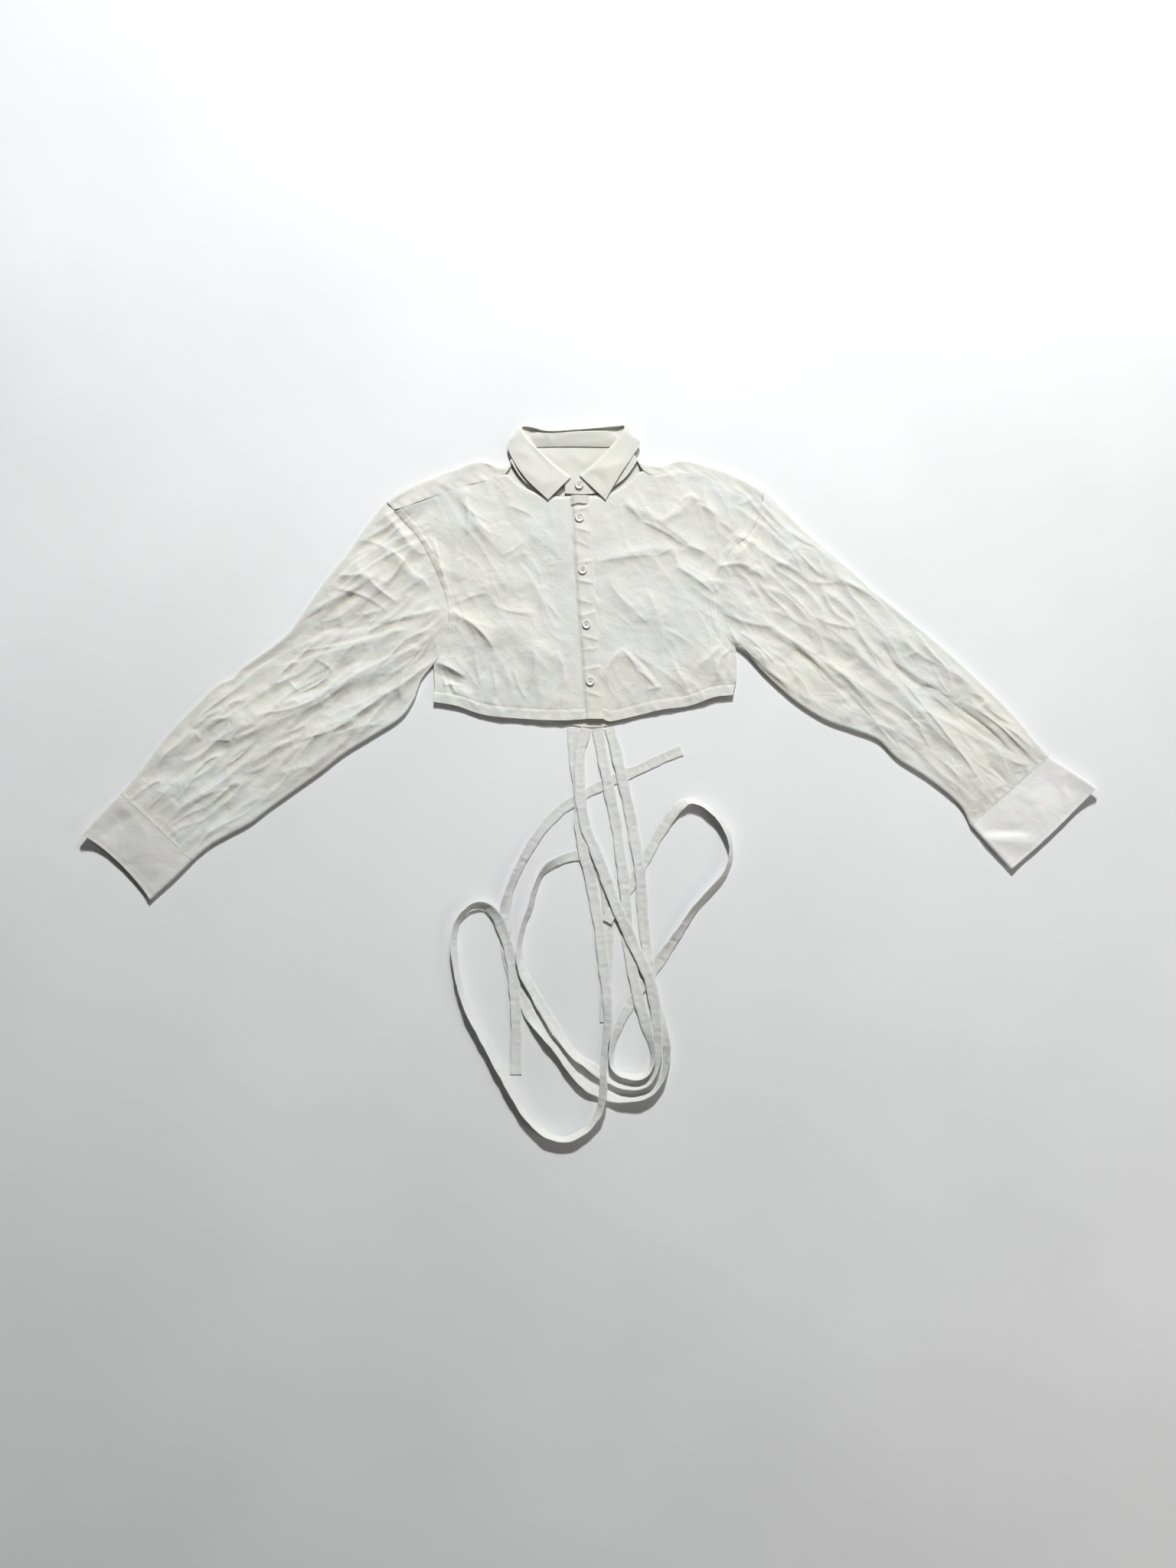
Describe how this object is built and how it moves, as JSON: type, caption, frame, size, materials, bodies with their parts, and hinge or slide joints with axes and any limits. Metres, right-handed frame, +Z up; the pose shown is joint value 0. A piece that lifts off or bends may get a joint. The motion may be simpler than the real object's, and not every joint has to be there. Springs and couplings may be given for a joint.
{
  "type": "crumpled tie-front blouse",
  "caption": "Cropped long-sleeved cotton shirt laid flat and crumpled, buttoned front, shirt collar and cuffs, long loose ties trailing from the hem.",
  "frame": {"origin": "middle of the garment without its ties, on the surface it lies on", "axes": "+X across the shirt towards the sleeve at the viewer's right, +Y towards the collar, +Z up from the table"},
  "size_m": [1.321, 0.9348, 0.0182],
  "materials": {
    "cotton": "matt plain-weave cotton, thin and crumpled",
    "cream_cotton": "matt plain-weave cotton, interlined, slightly creamier",
    "tie_cotton": "matt plain-weave cotton tape, folded and stitched",
    "button": "semi-gloss white resin with a raised rim"
  },
  "bodies": {
    "root": {"back": "cotton", "yoke": "cream_cotton", "front_left": "cotton", "front_right": "cotton", "placket": "cream_cotton", "sleeve_left": "cotton", "sleeve_right": "cotton", "cuff_left": "cream_cotton", "cuff_right": "cream_cotton", "collar_stand": "cream_cotton", "collar_fall": "cream_cotton", "button_1": "button", "button_2": "button", "button_3": "button", "button_4": "button", "button_5": "button", "tie_a": "tie_cotton", "tie_b": "tie_cotton", "tie_c": "tie_cotton", "tie_d": "tie_cotton"}
  },
  "joints": []
}
